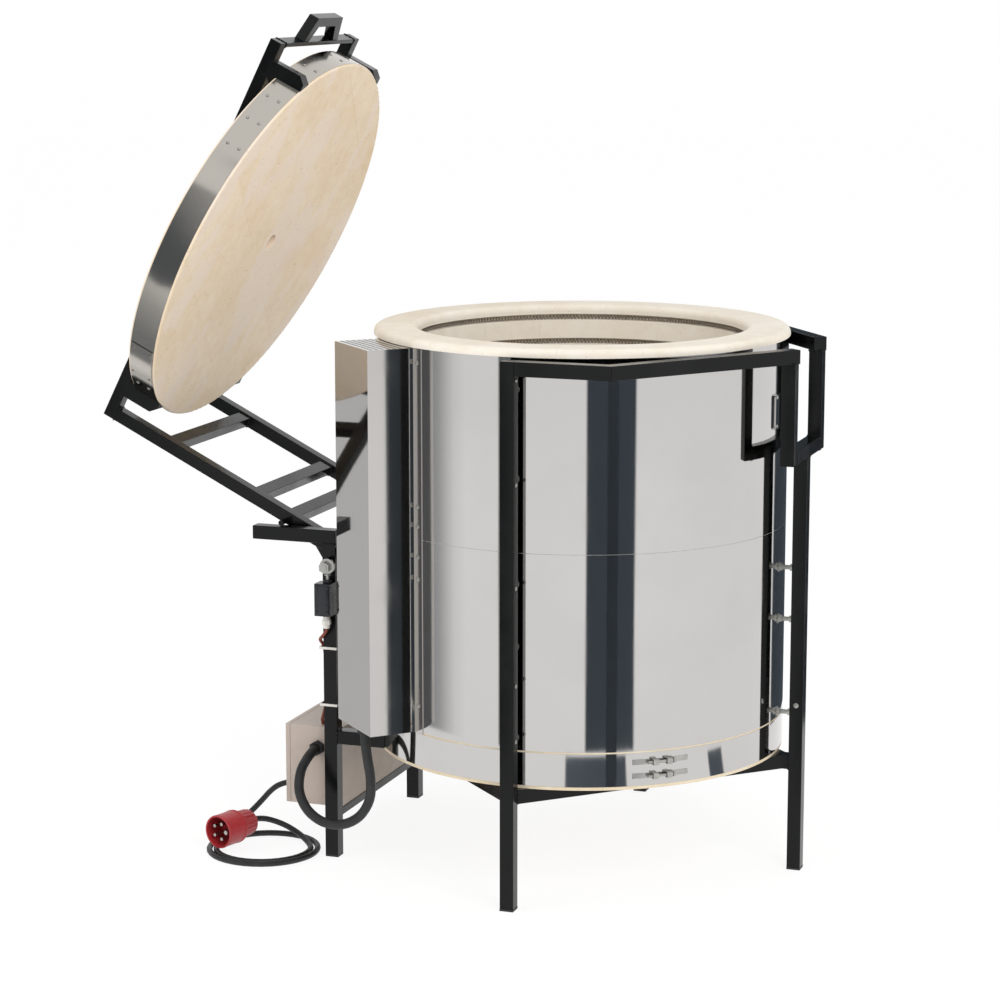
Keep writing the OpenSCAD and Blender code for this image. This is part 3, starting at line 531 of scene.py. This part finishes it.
# Tails and thermocouple. Glazed ceramic bushes and sheath, with brass screw connectors.
# The bushes line the bores through the wall, and the connectors clamp the tails.
ceramic, t = new_finish("glazed_ceramic")
where = t.place()
glaze = t.noise(where, 120.0, 3.0)
fill(
    ceramic,
    base_color=t.blend(glaze, srgb("f1ebdd"), srgb("ddd2bd")),
    roughness=0.28 + glaze * 0.15,
    normal=t.relief(glaze, 0.0006, 0.3),
)
dress(ceramic, "tail_bushes", "thermocouple")
brass, t = new_finish("terminal_brass")
where = t.place()
tarnish = t.noise(where, 150.0, 4.0)
fill(
    brass,
    base_color=t.blend(tarnish, srgb("c9a558"), srgb("8f7236")),
    metallic=1.0,
    roughness=0.3 + tarnish * 0.2,
)
dress(brass, "tail_connectors")

# Switchgear box. Folded sheet with a warm beige enamel, between the two rear posts.
# Its cover closes it from behind, with a screw at each corner.
enamel, t = new_finish("beige_enamel")
where = t.place()
fleck = t.noise(where, 500.0, 2.0)
grime = t.between(t.noise(where, 12.0, 5.0), 0.5, 0.8)
fill(
    enamel,
    base_color=t.blend(grime * 0.4, srgb("b9aba0"), srgb("998b81")),
    roughness=0.42 + grime * 0.15,
    normal=t.relief(fleck, 0.0004, 0.3),
)
dress(enamel, "switchgear_box", "switchgear_cover")
sheet_edge = 0.0008
ease(sheet_edge, enamel, "stand", "box_enamel", "switchgear_box", "switchgear_cover")
cover_low, cover_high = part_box("switchgear_cover")
cover_in, cover_up = 0.012, 0.010
cover_bm = bmesh.new()
for x in (cover_low[0] + cover_in, cover_high[0] - cover_in):
    for z in (cover_low[2] + cover_up, cover_high[2] - cover_up):
        dome(cover_bm, (x, cover_high[1], z), (0.0, 1.0, 0.0), 0.004, 0.0025)
spread("cover_screws", cover_bm, zinc, "stand")

# Lid switch. A glossy black case on the left rear post, under the cam of the lid's pivot.
# Its lid is a moulded plate with a screw at each corner.
switch_case, t = new_finish("switch_case")
where = t.place()
rub = t.between(t.noise(where, 80.0, 4.0), 0.45, 0.75)
fill(
    switch_case,
    base_color=t.blend(rub * 0.5, srgb("11151a"), srgb("272d34")),
    roughness=0.2 + rub * 0.25,
    normal=t.relief(t.noise(where, 1200.0, 2.0), 0.0002, 0.2),
)
dress(switch_case, "limit_switch")
case_edge = 0.0008
ease(case_edge, switch_case, "stand", "black_plastic", "limit_switch")
switch_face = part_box("limit_switch")[0][0]
switch_y, switch_z = 0.412 + axis_y, 0.4925
switch_plate = (0.0022, 0.026, 0.053)
plate_out = switch_plate[0] / 2 + case_edge
screw_y, screw_z = 0.010, 0.022
switch_bm = bmesh.new()
plate = bmesh.ops.create_cube(switch_bm, size=1.0)["verts"]
bmesh.ops.scale(switch_bm, vec=switch_plate, verts=plate)
bmesh.ops.translate(switch_bm, vec=(switch_face - case_edge, switch_y, switch_z), verts=plate)
bmesh.ops.bevel(
    switch_bm, geom=switch_bm.edges[:], offset=case_edge, segments=2, profile=0.5, affect="EDGES"
)
for z in (switch_z + screw_z, switch_z - screw_z):
    for y in (switch_y - screw_y, switch_y + screw_y):
        seat = (switch_face - plate_out, y, z)
        dome(switch_bm, seat, (-1.0, 0.0, 0.0), 0.0024, 0.0014, 12, 3)
spread("switch_lid", switch_bm, switch_case, "stand")

# Lid. The same brick, sawn flat and cemented into a disc, held by a riveted steel band.
# Its coat is brushed on, so it shows pale washes, warm stains and the courses beneath.
lid_open = math.radians(-63.2)
lid_brick, t = new_finish("lid_brick")
where = t.place()
cloud = t.noise(where, 5.0, 5.0, 0.6)
mottle = t.noise(where, 44.0, 4.0)
turned = (lid_open, 0.0, math.radians(24.0))
tilt = t.node("Mapping", None, {"Vector": where, "Rotation": turned})
courses = t.node(
    "TexBrick",
    {"offset": 0.5},
    {
        "Vector": tilt,
        "Color1": (0.2, 0.2, 0.2, 1.0),
        "Color2": (0.8, 0.8, 0.8, 1.0),
        "Mortar": (1.0, 1.0, 1.0, 1.0),
        "Scale": 1.0,
        "Brick Width": 0.23,
        "Row Height": 0.115,
        "Mortar Size": 0.0012,
    },
)
speck = t.between(t.noise(where, 190.0, 2.0), 0.66, 0.73)
pores = t.node("TexVoronoi", None, {"Vector": where, "Scale": 300.0})
pit = t.between(pores, 0.06, 0.2, 1.0, 0.0)
shade = t.between(cloud * 0.7 + mottle * 0.4 + courses * 0.18, 0.5, 0.95)
colour = t.blend(shade, srgb("efdfc8"), srgb("dfc6a2"))
drawn_out = t.node("Mapping", None, {"Vector": tilt, "Scale": (11.0, 3.2, 5.0)})
wash = t.between(t.noise(drawn_out, 1.0, 3.0), 0.52, 0.57)
stain = t.between(t.noise(where, 3.6, 4.0), 0.56, 0.74)
colour = t.blend(wash * 0.75, colour, srgb("ebdbcb"))
colour = t.blend(stain * 0.4, colour, srgb("e3bf93"))
fill(
    lid_brick,
    base_color=t.blend(speck * 0.5, colour, srgb("a9875f")),
    roughness=0.9,
    normal=t.relief(mottle * 0.4 - pit * 0.5, 0.001, 0.5),
)
dress(lid_brick, "lid_slab")
band_sheet = polished_steel("band_sheet", "bdb8b0", 0.12, 0.0016)
dress(band_sheet, "lid_band", "lid_plate")
pivot = Vector((0.0, 0.411 + axis_y, 0.551))
swing = Matrix.Rotation(lid_open, 3, "X")


def swung(point):
    """A point of the closed lid, swung back to where the lid is drawn."""
    return pivot + swing @ (point - pivot)


band_radius = 0.3718
rivet_angles = (22, 68, 97, 128, 214, 223.5, 233, 252, 268, 300, 338)
rivet_rows = (1.004, 1.028)
rivet_bm = bmesh.new()
for angle in rivet_angles:
    for z in rivet_rows:
        seat, out = on_kiln(angle, band_radius, z)
        dome(rivet_bm, swung(seat), swing @ out, 0.0032, 0.0018, 12, 3)
spread("band_rivets", rivet_bm, zinc, "lid")

# Lid frame. The same coated tube: two rails over the lid, two arms down to the pivot.
# Claws under the rails grip the band, and bars across the arms are welded in.
lid_frame = ["lid_rails", "lid_arms", "lid_front_bar", "lid_cross_bars", "lid_claws", "lid_handle"]
dress(powder_black, *lid_frame, "pivot_lugs", "stop_pins")
ease(tube_edge, powder_black, "lid", "black_paint", *lid_frame)
arm_x, arm_in, arm_out = 172, 375.2, 398.2
lid_rail_low, lid_rail_high = 1059, 1082
bar_in, bar_front, bar_back = 378.2, -382, -374
cross_bars = (670, 749, 942)
lid_welds = bmesh.new()
for side in (-1, 1):
    arm, inside = side * arm_x, side * (arm_x - tube_half)
    joints = [square(2, lid_rail_low, (arm - tube_half, arm_in), (arm + tube_half, arm_out))]
    joints.append(square(0, inside, (bar_front, lid_rail_low), (bar_back, lid_rail_high)))
    for z in cross_bars:
        joints.append(square(0, inside, (bar_in, z - tube_half), (arm_out, z + tube_half)))
    for joint in joints:
        bead(lid_welds, joint, swung)
spread("lid_welds", lid_welds, powder_black, "lid")

# Vent stopper. A turned fireclay plug, a little darker than the lid.
# It sits in the vent by its taper and is drawn out by its head.
dress(firebrick("fireclay", "dcc09a", "c7a57b"), "vent_plug")

# Hose and switch lead. Black rubber on the hose, a red-brown sleeve on the lead.
# Each runs from gland to gland, and white ties hold the lead to the post.
rubber, t = new_finish("black_rubber")
where = t.place()
bloom = t.between(t.noise(where, 40.0, 5.0), 0.45, 0.8)
fill(
    rubber,
    base_color=t.blend(bloom * 0.5, srgb("1b1c1d"), srgb("38383a")),
    roughness=0.46 + bloom * 0.18,
    normal=t.relief(t.noise(where, 900.0, 2.0), 0.0003, 0.3),
)
sleeving, t = new_finish("red_sleeving")
where = t.place()
fade = t.noise(where, 70.0, 4.0)
fill(
    sleeving,
    base_color=t.blend(fade, srgb("8d4634"), srgb("6f3527")),
    roughness=0.5 + fade * 0.15,
    normal=t.relief(t.noise(where, 800.0, 2.0), 0.0003, 0.3),
)


def smooth(route, steps=4):
    """A curve through a route in millimetres about the axis, with a few points in each stretch."""
    route = about_axis(route)
    last = len(route) - 1
    found = []
    for i in range(last):
        before, here = route[max(i - 1, 0)], route[i]
        there, after = route[i + 1], route[min(i + 2, last)]
        for j in range(steps):
            s = j / steps
            found.append(
                0.5
                * (
                    2 * here
                    + (there - before) * s
                    + (2 * before - 5 * here + 4 * there - after) * s * s
                    + (3 * here - before - 3 * there + after) * s * s * s
                )
            )
    return found + [route[last]]


def lay_cord(name, points, diameter, material, stands_for):
    curve = bpy.data.curves.new(name, "CURVE")
    curve.dimensions = "3D"
    curve.bevel_depth = diameter / 2
    curve.bevel_resolution = 4
    curve.use_fill_caps = True
    spline = curve.splines.new("POLY")
    spline.points.add(len(points) - 1)
    for spot, point in zip(spline.points, points):
        spot.co = (*point, 1.0)
    spline.use_smooth = True
    curve.materials.append(material)
    piece = bpy.data.objects.new(name, curve)
    bpy.context.collection.objects.link(piece)
    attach(piece, "stand")
    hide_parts(*stands_for)
    length = sum((b - a).length for a, b in zip(points, points[1:]))


hose_route = [
    (-306.88, 306.88, 274),
    (-306.9, 306.4, 250),
    (-305.3, 303, 218),
    (-302.5, 298.5, 180),
    (-300.5, 302, 142),
    (-300.3, 322, 109),
    (-300.2, 355, 90.5),
    (-298.6, 393, 90.5),
    (-294.9, 426, 109),
    (-286, 446, 140),
    (-268, 451, 171),
    (-244, 449, 189.5),
    (-220, 447.3, 198),
    (-200.5, 447, 200),
]
lay_cord(
    "box_hose",
    smooth(hose_route),
    0.018,
    rubber,
    ["hose"],
)

post_back = 426.8
switch_route = [
    (-233.0, 411, 437),
    (-233.0, 412, 431),
    (-232, 419, 422),
    (-225, 427.3, 413),
    (-212, 427.0, 401),
    (-205, post_back, 386),
    (-203, post_back, 360),
    (-203, post_back, 290),
    (-201, 431, 272),
    (-193, 437, 260),
    (-182, 443, 251),
    (-176, 444, 238.5),
]
lay_cord(
    "switch_lead",
    smooth(switch_route),
    0.006,
    sleeving,
    ["switch_cable"],
)
nylon, t = new_finish("white_nylon")
where = t.place()
sheen = t.noise(where, 300.0, 3.0)
fill(
    nylon,
    base_color=t.blend(sheen, srgb("eceae4"), srgb("d9d6cd")),
    roughness=0.36 + sheen * 0.15,
)
dress(nylon, "cable_ties", "switch_gland")

# Mains cord and plug. The cord is the hose's rubber, and lies in a loose coil on the floor.
# The five-pin plug is moulded in red, with a fluted grip and hoops round its shroud.
lead_route = [
    (-100, 536, 100),
    (-100, 549, 98.4),
    (-97.3, 572, 89),
    (-93.2, 591, 74),
    (-91, 608, 55.5),
    (-95, 624.3, 37.4),
    (-107, 639, 21.7),
    (-126.6, 649, 11.3),
    (-150, 653, 6.5),
    (-175, 652, 5.5),
    (-200, 649, 5.5),
    (-225, 648, 5.5),
]
coil_x, coil_y, coil_z = -225, 543, 5.5
coil_start, coil_pitch = 105, 13
turn_step, turn_count = 10, 56
coil_points = []
for step in range(1, turn_count + 1):
    angle = math.radians(90 + turn_step * step)
    radius = coil_start - coil_pitch * (turn_step * step) / 360
    x, y = radius * math.cos(angle), radius * math.sin(angle)
    coil_points.append((coil_x + x, coil_y + y, coil_z))
plug_entry = (-180, 588, 42.3)
climb_route = [
    coil_points[-1],
    (-178.3, 473.8, 6),
    (-164.3, 486.4, 8.5),
    (-151.8, 501.9, 12.5),
    (-143.2, 519.5, 18),
    (-140, 538.5, 25),
    (-143.2, 557.3, 32),
    (-153.3, 573.6, 38.3),
    (-168, 584.2, 41.7),
    plug_entry,
]
mains_points = smooth(lead_route) + about_axis(coil_points[:-1]) + smooth(climb_route)
red_plastic, t = new_finish("red_plastic")
where = t.place()
fleck = t.noise(where, 300.0, 3.0)
fill(
    red_plastic,
    base_color=t.blend(fleck * 0.5, srgb("ad2f35"), srgb("8c2329")),
    roughness=0.3 + fleck * 0.15,
    normal=t.relief(fleck, 0.0004, 0.2),
)
dress(red_plastic, "plug_shell")
plug_rear = about_axis([plug_entry])[0]
plug_turn = math.radians(163)
plug_way = Vector((math.cos(plug_turn), math.sin(plug_turn), 0.0))
plug_up = Vector((0.0, 0.0, 1.0))
plug_side = plug_way.cross(plug_up)
flutes, flute_points, flute_depth = 18, 6, 0.0009
grip_rear = [(0.008, 0.0145), (0.0095, 0.0195), (0.012, 0.0225)]
grip_fluted = [(0.015, 0.0236), (0.040, 0.0250)]
grip_collar = [(0.0435, 0.0256), (0.0455, 0.0282), (0.0500, 0.0288)]
rib_bm = bmesh.new()
wave = [math.cos(2 * math.pi * k / flute_points) for k in range(flute_points)] * flutes
grip_rings = []
for along, r in grip_rear + grip_fluted + grip_collar:
    depth = flute_depth if (along, r) in grip_fluted else 0.0
    radii = [r + depth * rise for rise in wave]
    grip_rings.append(vertex_ring(rib_bm, plug_rear + along * plug_way, plug_up, plug_side, radii))
tube_through(rib_bm, grip_rings)
hoop_steps, hoop_thick = 48, 0.0011
for along, r in ((0.0535, 0.0306), (0.0565, 0.0306), (0.0955, 0.0304)):
    centre = plug_rear + along * plug_way
    turns = [2 * math.pi * k / hoop_steps for k in range(hoop_steps + 1)]
    hoop = [centre + r * (math.cos(a) * plug_up + math.sin(a) * plug_side) for a in turns]
    tube_along(rib_bm, hoop, [hoop_thick] * len(hoop), 6)
plug_ribs = spread("plug_ribs", rib_bm, red_plastic, "stand")
lay_cord(
    "mains_cord",
    mains_points,
    0.011,
    rubber,
    ["mains_lead", "mains_coil"],
)

# Studio. A white floor under white light from all round, with dark cloth flags
# that only the polished steel mirrors, as in a product studio.
world = bpy.data.worlds.new("studio")
bpy.context.scene.world = world
world.use_nodes = True
t = Term(world.node_tree)
seen = t.node("LightPath", out=0)
mirrored = t.node("LightPath", out=3)
through = t.node("LightPath", out=6)
direct = t.math("ADD", t.math("ADD", seen, mirrored), through, clamp=True)
ambient = 0.8
white = (1.0, 1.0, 1.0, 1.0)
sky = world.node_tree.nodes["Background"].inputs
sky["Color"].default_value = white
t.tree.links.new((direct * (1 - ambient) + ambient).socket, sky["Strength"])

floor_mesh = bpy.data.meshes.new("studio_floor")
half = 30.0
floor_corners = [(-half, -half, 0), (half, -half, 0), (half, half, 0), (-half, half, 0)]
floor_mesh.from_pydata(floor_corners, [], [(0, 1, 2, 3)])
studio_floor = bpy.data.objects.new("studio_floor", floor_mesh)
bpy.context.collection.objects.link(studio_floor)
paper, t = new_finish("paper")
fill(paper, base_color=(0.93, 0.93, 0.93, 1.0), roughness=0.9)
looked_at = t.math("ADD", t.node("LightPath", out=0), t.node("LightPath", out=3), clamp=True)
lit = t.node("Emission", None, {"Color": white, "Strength": 1.035})
matt = Term(t.tree, t.tree.nodes["Principled BSDF"].outputs[0])
over = t.node("MixShader", None, {0: looked_at * 0.85, 1: matt, 2: lit})
t.tree.links.new(over.socket, t.tree.nodes["Material Output"].inputs["Surface"])
floor_mesh.materials.append(paper)

camera_angle = 197.9


def flag(name, stops, foot, top):
    """A cloth on an arc round the kiln that only mirrors show.

    Each stop is an angle from the camera's side and how dense the cloth is there.
    The foot and the top are each a radius and a height.
    """
    start, end = stops[0][0], stops[-1][0]
    middle = (start + end) / 2
    steps = 12
    reach = end - start
    turns = [math.radians(start - middle + reach * k / steps) for k in range(steps + 1)]
    corners = [(r * math.cos(a), r * math.sin(a), z) for r, z in (foot, top) for a in turns]
    mesh = bpy.data.meshes.new(name)
    above = steps + 1
    mesh.from_pydata(corners, [], [(k, k + 1, k + 1 + above, k + above) for k in range(steps)])
    cloth, t = new_finish(name + "_cloth")
    fill(cloth, base_color=srgb("46505a"), roughness=0.9)
    spot = t.place()
    across, along = (t.node("SeparateXYZ", None, {"Vector": spot}, out=k) for k in (0, 1))
    share = t.between(t.math("ARCTAN2", along, across), turns[0], turns[-1])
    ramp = [((at - start) / reach, (dense, dense, dense)) for at, dense in stops]
    dense = t.node("ValToRGB", {"stops": ramp}, {"Fac": share})
    matt = Term(t.tree, t.tree.nodes["Principled BSDF"].outputs[0])
    over = t.node("MixShader", None, {0: dense, 1: t.node("BsdfTransparent"), 2: matt})
    t.tree.links.new(over.socket, t.tree.nodes["Material Output"].inputs["Surface"])
    mesh.materials.append(cloth)
    hung = bpy.data.objects.new(name, mesh)
    hung.location = (0.0, axis_y, 0.0)
    hung.rotation_euler = (0.0, 0.0, math.radians(camera_angle + middle))
    bpy.context.collection.objects.link(hung)
    hung.visible_camera = False
    hung.visible_diffuse = False
    hung.visible_shadow = False


far_foot, far_top = (1.4, 0.002), (1.4, 2.4)
flag("front_flag", [(1.8, 0.0), (2.9, 1.0), (25.2, 1.0), (26.3, 0.0)], far_foot, far_top)
left_stops = [(-99, 0.8), (-86, 0.78), (-75, 0.57), (-65, 0.12), (-58, 0.0)]
flag("left_flag", left_stops, far_foot, far_top)
flag("right_flag", [(109.5, 0.0), (111, 1.0), (157, 1.0), (160, 0.0)], (0.8, 0.12), (0.8, 1.6))
flag("post_flag", [(-40.4, 0.0), (-39.6, 0.85), (-31.2, 0.85), (-30.5, 0.0)], far_foot, far_top)
rear_stops = [(-118, 0.0), (-114, 0.36), (-105, 0.36), (-101, 0.0)]
flag("rear_flag", rear_stops, (1.2, 0.002), (1.2, 2.4))
side_stops = [(9.7, 0.0), (10.1, 1.0), (13.9, 1.0), (14.2, 0.0)]
flag("side_flag", side_stops, (0.642, 0.01), (0.642, 1.3))
lid_stops = [(-71, 0.92), (-62, 0.92), (-55, 0.65), (-46, 0.3), (-38, 0.0)]
flag("lid_flag", lid_stops, (1.183, 0.89), (1.183, 1.6))
mat_stops = [(-7.2, 0.0), (-6.3, 1.0), (21.2, 1.0), (22.1, 0.0)]
flag("front_mat", mat_stops, (1.05, 0.003), (1.36, 0.003))
mat_stops = [(65.0, 0.0), (65.8, 1.0), (73.8, 1.0), (74.6, 0.0)]
flag("side_mat", mat_stops, (1.0, 0.003), (1.28, 0.003))


def soft_lamp(name, place, aim, width, watts):
    lamp = bpy.data.lights.new(name, "AREA")
    lamp.size = width
    lamp.energy = watts
    stand = bpy.data.objects.new(name, lamp)
    stand.location = place
    stand.rotation_euler = (Vector(aim) - Vector(place)).to_track_quat("-Z", "Y").to_euler()
    stand.visible_glossy = False
    bpy.context.collection.objects.link(stand)


soft_lamp("key_lamp", place=(-3.2, -3.4, 3.6), aim=(0.0, 0.0, 0.6), width=2.4, watts=120.0)
soft_lamp("fill_lamp", place=(-3.6, 3.0, 2.6), aim=(0.0, 0.2, 0.7), width=2.4, watts=50.0)

# Camera. A long lens at head height, in front of the kiln's left side.
# It stands about five metres off and looks a little down, into the open chamber.
camera_at = Vector((-5.02373, -1.61989 + axis_y, 1.6232))
turn = math.radians(-70.51)
fall = math.radians(10.35)
level = math.cos(fall)
sight = Vector((-math.sin(turn) * level, math.cos(turn) * level, -math.sin(fall)))
lens = bpy.data.cameras.new("camera")
lens.sensor_width = 36.0
lens.lens = 105.1
camera = bpy.data.objects.new("camera", lens)
camera.location = camera_at
camera.rotation_euler = sight.to_track_quat("-Z", "Y").to_euler()
bpy.context.collection.objects.link(camera)
bpy.context.scene.camera = camera
bpy.context.scene.view_settings.view_transform = "Standard"
